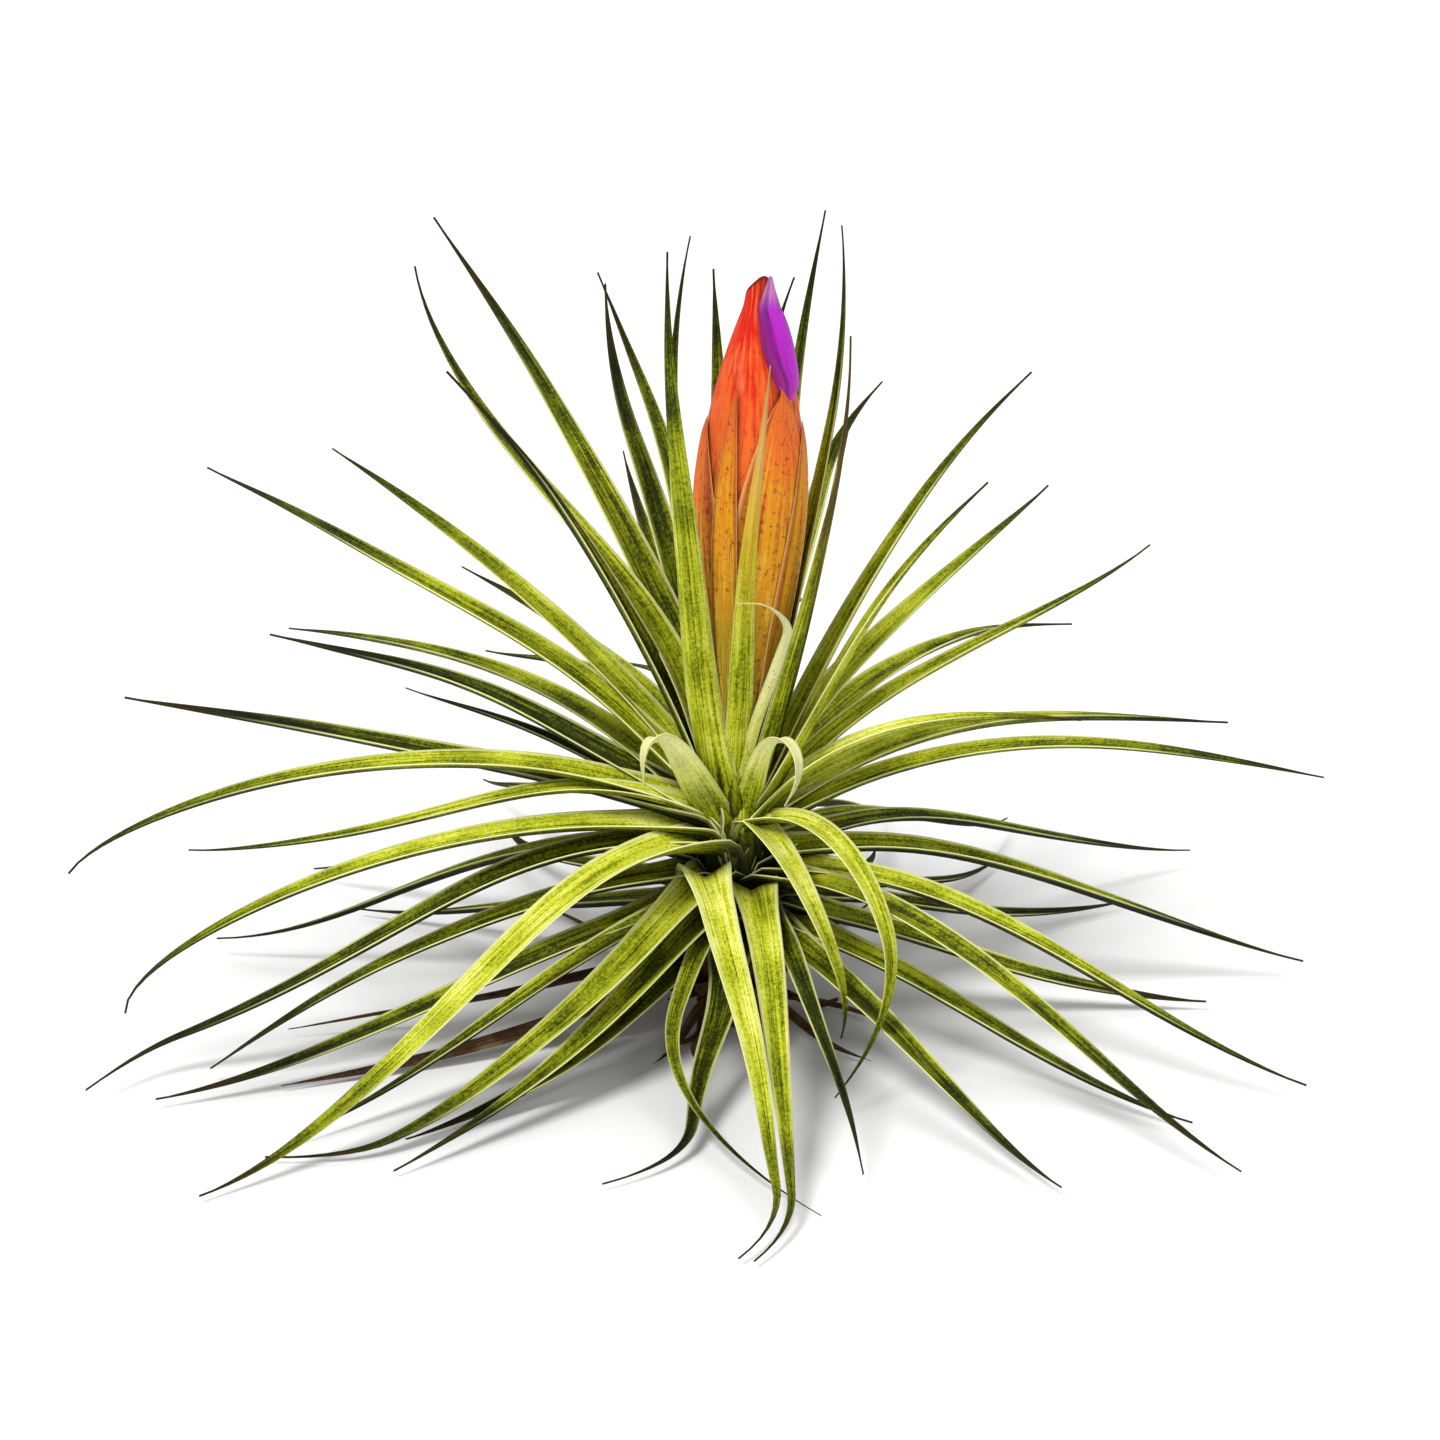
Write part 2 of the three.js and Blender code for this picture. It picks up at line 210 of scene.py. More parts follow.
def newTree(name):
    material = bpy.data.materials.new(name)
    material.use_nodes = True
    material.node_tree.nodes.clear()
    return material.node_tree


print("helpers ready")


leafLook = {
    "ramp": [(0.0, (0.006, 0.008, 0.0005)), (0.28, (0.040, 0.052, 0.001)), (0.50, (0.22, 0.26, 0.003)),
             (0.74, (0.58, 0.62, 0.025)), (1.0, (0.96, 0.95, 0.30))],
    "margin": (0.84, 0.85, 0.36),
    "cream": (0.93, 0.90, 0.52),
    "tip": (0.040, 0.029, 0.005),
    "gold": (0.82, 0.52, 0.03),
    "blush": (0.97, 0.52, 0.18),
    # sheath: near-black brown at a blade's very base, partly the sheath's own colour and partly painted shade
    "sheath": (0.035, 0.026, 0.007),
    "speck": (0.07, 0.06, 0.004),
    # painted shade colour for the crown's low middle, between the leaf bases
    "hollow": (0.008, 0.008, 0.002),
    "marginShare": {"rim": 0.9, "top": 0.72, "under": 0.35},
    # how strongly each side takes that painted shade
    "hollowShare": {"rim": 0.7, "top": 0.7, "under": 0.95},
    "streaks": (7, 13),  # how many along the blade and across it
    "ribs": (2.5, 34),
    "grain": 2300.0,
    "patches": 170.0,
    "relief": 0.0003,
    "gloss": 0.12,
}


def leafMaterial(name, side):
    tree = newTree(name)
    across = parts(tree, coordinates(tree, "UV"))[1]
    along = attribute(tree, "leafAlong")
    place = coordinates(tree, "Object")
    tone = attribute(tree, "leafTone")
    seed = attribute(tree, "leafSeed")
    edge = abs(across * 2 - 1)
    streakAlong, streakAcross = leafLook["streaks"]
    ribAlong, ribAcross = leafLook["ribs"]
    streak = noise(tree, stretched(tree, along * streakAlong, across * streakAcross, seed * 31), 1.0, 3.0)
    rib = noise(tree, stretched(tree, along * ribAlong, across * ribAcross, seed * 17), 1.0, 2.0)
    grain = noise(tree, place, leafLook["grain"], 2.0, 0.7)
    patch = noise(tree, place, leafLook["patches"], 2.0)
    shade = tone + (streak - 0.5) * 0.9 + (grain - 0.5) * 0.7 + (patch - 0.5) * 0.5 + (rib - 0.5) * 0.6
    pale = fade(tone, 0.9, 1.0)
    shade = shade + (1 - fade(along, 0.05, 0.4)) * 0.14 - fade(along, 0.5, 1.0) * 0.36 * (1 - pale)
    # painted shade: the middle of the blade, down in its channel, is made darker than its margins
    shade = shade - (1 - fade(edge, 0.0, 0.7)) * 0.12
    outward, back, height = parts(tree, place)
    away = (outward * outward + back * back) ** 0.5 * 1000
    # painted shade: near the stem and low in the crown, the leaves are made darker
    shade = shade - (1 - fade(away, 4, 10)) * (1 - fade(height * 1000, 34, 46)) * 0.16
    # painted shade: the underside is made a little darker all over and much darker low down
    if side == "under":
        shade = shade - 0.05 - 0.29 * (1 - fade(height * 1000, 30, 42))
    colour = node(tree, "ValToRGB", {"stops": leafLook["ramp"]}, {0: shade})
    colour = blend(pale * fade(along, 0.35, 0.8) * 0.7, colour, leafLook["cream"])
    specks = fade(grain * 0.6 + streak * 0.4, 0.56, 0.66) * 0.5
    colour = blend(specks, colour, leafLook["speck"])
    margin = fade(edge + (streak - 0.5) * 0.16, 0.62, 0.80) * (1 - fade(along, 0.6, 0.86))
    colour = blend(margin * leafLook["marginShare"][side], colour, leafLook["margin"])
    reddish = attribute(tree, "leafBlush")
    dried = fade(along + (patch - 0.5) * 0.14 - (tone - 0.5) * 0.08, 0.80, 0.96)
    brown = dried * (1 - pale) * (1 - reddish * 0.8)
    colour = blend(brown, colour, leafLook["tip"])
    blush = fade(along + (streak - 0.5) * 0.3, 0.40, 0.78) * reddish
    golden = blend(fade(along, 0.6, 0.95), leafLook["gold"], leafLook["blush"])
    colour = blend(blush * 0.85, colour, golden)
    # partly the sheath's own brown, partly painted shade: the first few mm of each blade, crowded at the
    # stem, are made near-black brown
    colour = blend(1 - fade(along + (streak - 0.5) * 0.02, 0.015, 0.06), colour, leafLook["sheath"])
    # painted shade: the crown's middle, low between the leaf bases, is made near-black
    hollow = (1 - fade(away + (height * 1000 - 24) * 0.5, 3.5, 9.5)) * (1 - fade(height * 1000, 26, 31))
    colour = blend(hollow * leafLook["hollowShare"][side], colour, leafLook["hollow"])
    relief = rib * 0.6 + grain * 0.3 + streak * 0.3
    constants = {"Specular IOR Level": leafLook["gloss"]}
    return finish(name, colour, 0.58 + grain * 0.22, relief, leafLook["relief"], **constants)


leafTop = leafMaterial("leafTop", "top")
# the underside's material is the shaded copy of the leaf's material
leafUnderShaded = leafMaterial("leafUnderShaded", "under")
leafRim = leafMaterial("leafRim", "rim")

dryLook = {
    "dark": (0.030, 0.016, 0.007),
    "brown": (0.13, 0.062, 0.020),
    "tan": (0.38, 0.24, 0.11),
    "fibres": (5, 30),
    "grain": 1400.0,
    "patches": 190.0,
    "relief": 0.0005,
    "gloss": 0.25,
}


def dryMaterial():
    tree = newTree("dryFibre")
    along, across = parts(tree, coordinates(tree, "UV"))[:2]
    place = coordinates(tree, "Object")
    fibreAlong, fibreAcross = dryLook["fibres"]
    fibre = noise(tree, stretched(tree, along * fibreAlong, across * fibreAcross, 0.0), 1.0, 4.0, 0.6)
    grain = noise(tree, place, dryLook["grain"], 3.0, 0.65)
    patch = noise(tree, place, dryLook["patches"], 2.0)
    colour = blend(fade(fibre * 0.6 + grain * 0.4, 0.38, 0.56), dryLook["dark"], dryLook["brown"])
    colour = blend(fade(patch * 0.5 + fibre * 0.5, 0.50, 0.66) * 0.8, colour, dryLook["tan"])
    relief = fibre * 0.8 + grain * 0.4
    constants = {"Specular IOR Level": dryLook["gloss"]}
    return finish("dryFibre", colour, 0.72 + grain * 0.2, relief, dryLook["relief"], **constants)


dryFibre = dryMaterial()

ringReach = 0.3  # points within this part of a ring's step belong to the ring

bladeForm = {
    "rings": 64,
    "farRings": 44,
    "sheathRings": 0.4,  # the part of the rings that lies in the first sheathShare of the length
    "sheathShare": 0.18,
    "columns": (0, 0.3, 0.58, 0.8, 0.93, 1.0),  # from the middle line to the margin
    "width": 5.8,
    "flare": 2.6,
    "flareShare": 0.25,
    "channel": 0.27,
    "claspChannel": 0.44,
    "claspShare": 0.22,
    "channelCurve": 1.35,
    "rootThick": 1.1,
    "rootFade": 4,  # the root's thickness is gone by a quarter of the length
    "thick": 0.62,
    "edgeThin": 0.74,  # how much of the thickness goes by the margin
    "tipThin": 0.5,
    "tipFrom": 0.7,
    "tipWidth": 0.24,
    "taper": 1.8,
    "tuck": 0.03,
    "tuckWidth": 0.5,
    "twist": 26,
}

archForm = {  # in the plane of one leaf
    "rootAt": 1.6,
    "crownFrom": 26.5,
    "crownRootAt": 3.4,
    "sheath": 8.0,  # its length, up along the stem to the fold
    "sheathAt": 2.9,
    "foldAt": 4.9,
    "foldDrop": 0.1,  # how much further out the fold lies for each mm further down
    "foldGap": 0.6,
    "steep": 56,  # leaves that rise more steeply keep their whole arch
    "cutStep": 0.002,
    "cutMost": 0.3,
    "lowest": 10.6,
    "footPull": (0.3, 0.7),
    "foldPull": 0.24,
}

bendForm = {  # shares of the leaf's length, and mm
    "waist": 0.6,
    "waistShake": 0.12,
    "waistHalf": 0.02,
    "wobbleUp": 0.7,
    "wobbleAside": 1.0,
    "wobbleShare": 0.3,
    "faceFrom": 0.3,
    "faceShare": 0.25,
    "endFrom": 0.995,
}


def bladeWidth(share, taper):
    body = bladeForm["width"] * (1 - share ** taper)
    flare = bladeForm["flare"] * (1 - smooth(share, 0, bladeForm["flareShare"]))
    tucked = between(bladeForm["tuckWidth"], 1, smooth(share, 0, bladeForm["tuck"]))
    return max(bladeForm["tipWidth"], body + flare) * tucked


def ringShare(part):
    near, share = bladeForm["sheathRings"], bladeForm["sheathShare"]
    return share * part / near if part < near else between(share, 1, (part - near) / (1 - near))


def makeBlade(materials, taper=bladeForm["taper"], rings=bladeForm["rings"]):
    columns = bladeForm["columns"]
    sides = len(columns) - 1
    bpy.ops.mesh.primitive_grid_add(x_subdivisions=rings, y_subdivisions=2 * sides, size=1,
                                    location=(0.5, 0, 0), rotation=(-math.pi / 2, 0, 0))
    blade = bpy.context.object
    blade.name = "bladeMaster"
    for material in materials:
        blade.data.materials.append(material)
    settle(blade)
    for number in range(sides, 0, -1):
        place = 0.5 * number / sides
        selectPoints(blade, lambda point: abs(abs(point.z) - place) < 0.02)
        stretch = columns[number] * sides / number
        bpy.ops.transform.resize(value=(1, 1, stretch), center_override=(0.5, 0, 0))
        bpy.ops.transform.translate(value=(0, columns[number] ** bladeForm["channelCurve"], 0))
        doneEditing()
    body = blade.vertex_groups.new(name="body")
    bladeThick = bladeForm["thick"] / bladeForm["rootThick"]
    for point in blade.data.vertices:
        share = ringShare(point.co.x)
        towardsTip = 1 - bladeForm["tipThin"] * smooth(share, bladeForm["tipFrom"], 1)
        thick = between(1, bladeThick, min(1, bladeForm["rootFade"] * share)) * towardsTip
        towardsEdge = 1 - bladeForm["edgeThin"] * abs(2 * point.co.z) ** 2
        body.add([point.index], thick * towardsEdge, "REPLACE")
    for ring in range(rings + 1):
        place = ring / rings
        share = ringShare(place)
        width = bladeWidth(share, taper) * mm
        clasp = smooth(share, 0, bladeForm["claspShare"])
        lift = between(bladeForm["claspChannel"], bladeForm["channel"], clasp)
        selectPoints(blade, lambda point: abs(point.x - place) < ringReach / rings)
        bpy.ops.transform.resize(value=(1, width * lift, width), center_override=(place, 0, 0))
        bpy.ops.transform.translate(value=(share - place, 0, 0))
        doneEditing()
    modify(blade, "SOLIDIFY", thickness=bladeForm["rootThick"] * mm, offset=0, vertex_group="body",
           material_offset=1, material_offset_rim=2, use_even_offset=False)
    pick(blade)
    bpy.ops.object.shade_smooth_by_angle(angle=math.radians(50))
    return blade


def splitAt(arch, cut):  # the control points of a Bezier arch from the share cut onwards
    kept = [arch[3]]
    level = arch
    while len(level) > 1:
        level = [(between(a[0], b[0], cut), between(a[1], b[1], cut)) for a, b in zip(level, level[1:])]
        kept.insert(0, level[-1])
    return kept


def drawArch(plan):  # up along the stem, over the fold, then out along the blade's own arch
    form = archForm
    rootAt = form["crownRootAt"] if plan["root"] > form["crownFrom"] else form["rootAt"]
    root, end = (rootAt, plan["root"]), (plan["reach"], plan["tip"])
    chord = math.dist(root, end)
    pull, trail = plan["pull"] * chord, plan["trail"] * chord
    rise, fall = math.radians(plan["rise"]), math.radians(plan["end"])
    arch = [root,
            (root[0] + pull * math.cos(rise), root[1] + pull * math.sin(rise)),
            (end[0] - trail * math.cos(fall), end[1] - trail * math.sin(fall)),
            end]
    foldAt = form["foldAt"] + form["foldDrop"] * (form["crownFrom"] - plan["root"])
    cut = 0.0
    while plan["rise"] < form["steep"] and splitAt(arch, cut)[0][0] < foldAt and cut < form["cutMost"]:
        cut += form["cutStep"]
    fold, ahead, before, tip = splitAt(arch, cut)
    away = math.dist(fold, ahead)
    step = ((ahead[0] - fold[0]) / away, (ahead[1] - fold[1]) / away)
    foot = (min(form["sheathAt"], fold[0] - form["foldGap"]), max(form["lowest"], fold[1] - form["sheath"]))
    height = fold[1] - foot[1]
    outPull, upPull = form["footPull"]
    back = form["foldPull"] * height
    footAhead = (foot[0] + outPull * height, foot[1] + upPull * height)
    foldBehind = (fold[0] - back * step[0], fold[1] - back * step[1])
    tipAhead = (2 * tip[0] - before[0], 2 * tip[1] - before[1])
    bpy.ops.curve.primitive_bezier_curve_add()
    curve = bpy.context.object
    curve.data.dimensions = "2D"
    curve.data.resolution_u = 64
    points = curve.data.splines[0].bezier_points
    points.add(1)
    places = (foot, fold, tip)
    aheads = (footAhead, ahead, tipAhead)
    behinds = ((foot[0], foot[1] - 1), foldBehind, before)
    for point, place, right, left in zip(points, places, aheads, behinds):
        point.handle_left_type = point.handle_right_type = "FREE"
        point.co = (place[0] * mm, place[1] * mm, 0)
        point.handle_right = (right[0] * mm, right[1] * mm, 0)
        point.handle_left = (left[0] * mm, left[1] * mm, 0)
    return curve


def pulling(falloff, reach):  # an edit that also takes along the points within reach
    return {"use_proportional_edit": True, "proportional_edit_falloff": falloff, "proportional_size": reach}


def bendLeaf(master, name, plan, index):
    form = bendForm
    arch = drawArch(plan)
    length = arch.data.splines[0].calc_length()
    aside, sway = plan["aside"], plan["sway"]
    piece = copyOf(master, name)
    piece.scale = (length, plan["wide"], plan["wide"])
    piece.location = (0, 0, -aside * mm)
    settle(piece)
    paint(piece, "leafAlong", [point.co.x / length for point in piece.data.vertices])
    waist = length * (form["waist"] + form["waistShake"] * shake(index, 11))
    selectPoints(piece, lambda point: abs(point.x - waist) < form["waistHalf"] * length)
    wobble = (0, form["wobbleUp"] * mm * shake(index, 12), form["wobbleAside"] * mm * shake(index, 13))
    bpy.ops.transform.translate(value=wobble, **pulling("SMOOTH", length * form["wobbleShare"]))
    doneEditing()
    selectPoints(piece, lambda point: point.x > length * form["faceFrom"])
    bpy.ops.transform.rotate(value=math.radians(plan["face"]), orient_axis="X",
                             center_override=(0, 0, -aside * mm),
                             **pulling("SMOOTH", length * form["faceShare"]))
    doneEditing()
    selectPoints(piece, lambda point: point.x > length * form["endFrom"])
    bpy.ops.transform.translate(value=(0, 0, -sway * mm), **pulling("SHARP", length))
    bpy.ops.transform.rotate(value=math.radians(plan["twist"]), orient_axis="X",
                             center_override=(length, 0, -(aside + sway) * mm), **pulling("SHARP", length))
    side, up, part = plan["hook"]
    bpy.ops.transform.translate(value=(0, up * mm, -side * mm), **pulling("SHARP", length * part))
    doneEditing()
    modify(piece, "CURVE", object=arch, deform_axis="POS_X")
    bpy.data.objects.remove(arch)
    piece.rotation_euler = (math.pi / 2, 0, math.radians(plan["turn"]))
    settle(piece)
    paint(piece, "leafTone", plan["tone"])
    paint(piece, "leafSeed", 0.5 + 0.5 * shake(index, 14))
    paint(piece, "leafBlush", plan["blush"])
    return piece


# where each leaf points, how far out and how high its tip is, where it leaves the stem and at what slope,
# and the slope of its tip
def leaf(turn, reach, tip, root, rise, end, pull=0.36, trail=0.36, **extra):
    plan = {"turn": turn, "reach": reach, "tip": tip, "root": root, "rise": rise, "end": end,
            "pull": pull, "trail": trail, "aside": 0, "sway": 0, "wide": 1.0, "tone": 0.55, "twist": 0,
            "hook": (0, 0, 0.2), "blush": 0.0, "face": 0,
            "taper": bladeForm["taper"], "rings": bladeForm["rings"]}
    plan.update(extra)
    return plan


floorLeaves = [
    leaf(219, 83, 1, 23.5, 29, 0, tone=0.74),
    leaf(235, 68, 1, 21, 4, 2, pull=0.25, trail=0.5, sway=-17, tone=0.6, hook=(-6, 0, 0.16)),
    leaf(238, 61, 1, 17, 0, 0, pull=0.28, trail=0.5, sway=-11, wide=0.9, tone=0.5),
    leaf(232, 55, 1, 13, -10, 0, pull=0.3, trail=0.5, sway=-9, wide=0.9, tone=0.4),
    leaf(201, 79, 1.5, 17, -3, 0, wide=0.95, tone=0.4),
    leaf(194, 87, 2.5, 23, 22, -6, tone=0.36, hook=(7, 0, 0.14)),
    leaf(197, 71, 2, 20, 8, -30, wide=0.9, tone=0.46),
    leaf(266, 50, 1, 13, -8, 0, pull=0.3, sway=-4, wide=0.9, tone=0.34, taper=1.2, hook=(-8.5, 0, 0.25)),
    leaf(254, 51.5, 1, 15, 4, -4, trail=0.5, aside=-1.5, wide=0.58, tone=0.48, taper=1.2, hook=(27, 0, 0.6)),
    leaf(278, 65.9, 1, 21.5, 14, -10, aside=-4.7, sway=2.5, tone=0.8, taper=1.2, hook=(-6.5, 0, 0.15)),
    leaf(277.5, 66.8, 1, 19.5, 10, -8, aside=1.6, sway=-3, tone=0.7, taper=1.2, hook=(-5, 0, 0.15)),
    leaf(286, 50, 1.5, 17.5, 5, -48, aside=2, wide=0.75, tone=0.36, taper=1.2),
    leaf(212, 66, 1.5, 18, -2, -6, sway=3, wide=0.8, tone=0.5),
]

airLeaves = [
    leaf(192, 81, 8, 25, 22, -92, pull=0.4, trail=0.12, tone=0.7),
    leaf(178, 89.7, 19, 27, 34, -58, pull=0.4, trail=0.12, wide=1.05, tone=0.64),
    leaf(184, 72, 26, 28, 32, 4, wide=0.8, tone=0.72),
    leaf(170, 84, 40, 27, 17, 7, pull=0.32, wide=1.15, tone=0.36),
    leaf(160, 68, 46, 27, 30, 5, pull=0.3, wide=1.1, tone=0.3),
    leaf(150, 53, 37, 24, 30, 8, wide=0.7, tone=0.22),
    leaf(157.5, 78, 68, 29, 47, 20, pull=0.38, aside=0.4, tone=0.6),
    leaf(148, 66, 69, 30, 46, 22, pull=0.32, aside=-0.4, wide=0.9, tone=0.66),
    leaf(305, 24, 6, 29.5, -10, -110, wide=0.85, tone=0.84, taper=1.3),
    leaf(317, 30, 3, 28, 36, -100, pull=0.5, trail=0.5, sway=-3.5, wide=0.78, tone=0.76, hook=(-10, 0, 0.35)),
    leaf(352, 45, 45, 28, 60, -2, wide=1.05, tone=0.8, taper=1.4),
]

crownLeaves = [
    leaf(130, 62, 99, 31, 68, 50, aside=-0.6, wide=1.15, tone=0.5, taper=1.4, hook=(3, 0, 0.3)),
    leaf(141.5, 58, 94, 31, 78, 66, pull=0.42, trail=0.3, aside=0.4, wide=1.05, tone=0.62, taper=1.4,
         hook=(-3, 0, 0.3)),
    leaf(118, 48, 90, 31, 62, 46, aside=-1, wide=1.1, tone=0.42, taper=1.4, hook=(-4, 0, 0.3)),
    leaf(112, 43, 93, 31, 72, 62, tone=0.58, taper=1.4, hook=(3, 0, 0.3)),
    leaf(165, 37, 88, 31, 70, 54, aside=0.4, wide=1.1, tone=0.3, taper=1.4, hook=(4, 0, 0.3)),
    leaf(225, 11.8, 106.6, 30, 80, 92, wide=0.96, tone=0.74, face=-26, taper=1.6),
    leaf(146, 9, 105, 31, 78, 96, wide=0.8, tone=0.6, taper=1.4, hook=(-3, 0, 0.3)),
    leaf(274, 10.5, 93, 37, 76, 94, sway=3.5, wide=0.64, tone=0.74, blush=1.0, taper=1.7),
    leaf(332, 14.5, 83, 30, 80, 84, aside=0.5, tone=0.66, blush=0.12, taper=1.4, hook=(2, 0, 0.3)),
    leaf(360, 14.5, 93, 31, 76, 90, aside=1, wide=0.9, tone=0.5, blush=0.1, taper=1.4, hook=(3, 0, 0.3)),
    leaf(58, 18, 106.9, 31, 78, 94, aside=0.8, wide=0.9, tone=0.55, taper=1.4, hook=(-3, 0, 0.3)),
    leaf(34, 19, 105, 31, 78, 84, wide=0.8, tone=0.55, taper=1.4, hook=(4, 0, 0.3)),
    leaf(80, 16, 98, 31, 80, 82, aside=-0.8, tone=0.5, taper=1.4, hook=(-4, 0, 0.3)),
    leaf(18, 39, 87, 30, 66, 48, tone=0.66, taper=1.4, hook=(-3, 0, 0.3)),
    leaf(354, 32, 76, 29, 62, 46, wide=1.0, tone=0.76, taper=1.4),
]

curledLeaves = [
    leaf(228, 17.4, 38.8, 27, 66, -95, pull=1.2, trail=0.46, wide=1.08, tone=0.98, taper=2.4, face=-24),
    leaf(300, 12.8, 35, 28.5, 82, -128, pull=1.56, trail=1.42, wide=0.78, tone=1.05, taper=1.5, face=14),
    leaf(286, 9.4, 62, 33, 84, 192, pull=0.84, trail=0.26, sway=5.4, wide=0.3, tone=1.1, taper=8,
         hook=(-8, 0, 0.2)),
]

leafTiers = [  # the far side and the hidden right side
    {"count": 9, "start": 312, "step": 24, "root": 15, "reach": 64, "tip": 1.6,
     "rise": -2, "end": 0, "tone": 0.45},
    {"count": 10, "start": 324, "step": 22, "root": 20, "reach": 78, "tip": 3,
     "rise": 20, "end": -12, "tone": 0.52},
    {"count": 7, "start": 8, "step": 23, "root": 25, "reach": 80, "tip": 30,
     "rise": 36, "end": -12, "tone": 0.58},
    {"count": 5, "start": 22, "step": 26, "root": 28.5, "reach": 62, "tip": 62,
     "rise": 52, "end": 24, "tone": 0.6},
    {"count": 2, "start": 74, "step": 30, "root": 31, "reach": 24, "tip": 92,
     "rise": 76, "end": 70, "tone": 0.6},
]

tierForm = {"indexes": 20, "reach": 0.998, "wide": 0.9, "hookShare": 0.3}
tierShake = {"turn": 6, "reach": 0.12, "tip": 0.2, "rise": 6, "end": 4, "sway": 9, "wide": 0.12,
             "tone": 0.12, "hook": 5}


def tierLeaves():
    leaves = []
    for row, tier in enumerate(leafTiers):
        for place in range(tier["count"]):
            index = row * tierForm["indexes"] + place
            leaves.append(leaf(
                tier["start"] + tier["step"] * place + tierShake["turn"] * shake(index, 1),
                tier["reach"] * (tierForm["reach"] + tierShake["reach"] * shake(index, 2)),
                tier["tip"] * (1 + tierShake["tip"] * shake(index, 3)),
                tier["root"] + shake(index, 7),
                tier["rise"] + tierShake["rise"] * shake(index, 4),
                tier["end"] + tierShake["end"] * shake(index, 5),
                sway=tierShake["sway"] * shake(index, 6),
                rings=bladeForm["farRings"],
                wide=tierForm["wide"] + tierShake["wide"] * shake(index, 8),
                tone=tier["tone"] + tierShake["tone"] * shake(index, 9),
                hook=(tierShake["hook"] * shake(index, 10), 0, tierForm["hookShare"])))
    return leaves


def rollTube(name, sides, rings, foot, height, radiusAt, centreAt=None):
    # a sheet rolled into a tube, each ring then brought to its size and place
    bpy.ops.mesh.primitive_grid_add(x_subdivisions=sides, y_subdivisions=rings, size=1,
                                    location=(0, 0, 0.5), rotation=(math.pi / 2, 0, 0))
    tube = bpy.context.object
    tube.name = tube.data.name = name
    settle(tube)
    modify(tube, "SIMPLE_DEFORM", deform_method="BEND", deform_axis="Z", angle=math.tau)
    tube.location = (0, -1 / math.tau, 0)
    settle(tube)
    bpy.ops.object.mode_set(mode="EDIT")
    bpy.ops.mesh.select_all(action="SELECT")
    bpy.ops.mesh.remove_doubles(threshold=0.0001)
    doneEditing()
    for ring in range(rings + 1):
        share = ring / rings
        size = radiusAt(share)
        deep, wide = size if isinstance(size, tuple) else (size, size)
        selectPoints(tube, lambda point: abs(point.z - share) < ringReach / rings)
        bpy.ops.transform.resize(value=(deep * mm * math.tau, wide * mm * math.tau, 1),
                                 center_override=(0, 0, share))
        if centreAt:
            out, side = centreAt(share)
            bpy.ops.transform.translate(value=(out * mm, side * mm, 0))
        if ring in (0, rings):
            bpy.ops.mesh.edge_face_add()
        doneEditing()
    bpy.ops.object.mode_set(mode="EDIT")
    bpy.ops.mesh.select_all(action="SELECT")
    bpy.ops.mesh.normals_make_consistent(inside=False)
    doneEditing()
    tube.scale = (1, 1, height * mm)
    tube.location = (0, 0, foot * mm)
    settle(tube)
    bpy.ops.object.shade_smooth_by_angle(angle=math.radians(60))
    return tube


def profileRadius(profile):
    def radius(share):
        height = between(profile[0][1], profile[-1][1], share)
        for (lowRadius, low), (highRadius, high) in zip(profile, profile[1:]):
            if height <= high + 0.0001:
                return between(lowRadius, highRadius, (height - low) / (high - low))
        return profile[-1][0]
    return radius


sheathLook = {
    "dark": (0.020, 0.022, 0.003),
    "green": (0.12, 0.13, 0.010),
    "brown": (0.09, 0.05, 0.012),
    "fibres": (60, 4),
    "grain": 1500.0,
    "relief": 0.0004,
}


def sheathMaterial():
    tree = newTree("leafSheath")
    around, along = parts(tree, coordinates(tree, "UV"))[:2]
    fibreAround, fibreAlong = sheathLook["fibres"]
    fibre = noise(tree, stretched(tree, around * fibreAround, along * fibreAlong, 0.0), 1.0, 3.0)
    grain = noise(tree, coordinates(tree, "Object"), sheathLook["grain"], 2.0)
    colour = blend(fade(fibre, 0.35, 0.62), sheathLook["dark"], sheathLook["green"])
    colour = blend(fade(grain, 0.5, 0.66) * 0.5, colour, sheathLook["brown"])
    return finish("leafSheath", colour, 0.62 + grain * 0.2, fibre + grain * 0.4, sheathLook["relief"])


leafSheath = sheathMaterial()

# pairs of radius and height, from the foot up
stemForm = {"profile": [(4.2, 11.35), (3.6, 18), (3.1, 26), (2.6, 36)], "sides": 24, "rings": 16}


def makeRosette():
    materials = (leafTop, leafUnderShaded, leafRim)
    blades = {}
    pieces = []
    plans = floorLeaves + airLeaves + crownLeaves + tierLeaves() + curledLeaves
    for index, one in enumerate(plans):
        one["twist"] = bladeForm["twist"] * shake(index, 15)
        kind = (one["taper"], one["rings"])
        if kind not in blades:
            blades[kind] = makeBlade(materials, *kind)
        pieces.append(bendLeaf(blades[kind], "leaf", one, index))
    for blade in blades.values():
        bpy.data.objects.remove(blade)
    profile = stemForm["profile"]
    foot, top = profile[0][1], profile[-1][1]
    stem = rollTube("stem", stemForm["sides"], stemForm["rings"], foot, top - foot, profileRadius(profile))
    stem.data.materials.append(leafSheath)
    return joined([*pieces, stem], "leafRosette")


rosette = makeRosette()
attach(rosette, "root")
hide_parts("leaf_rosette")
print("leaves bent and joined, faces", len(rosette.data.polygons))


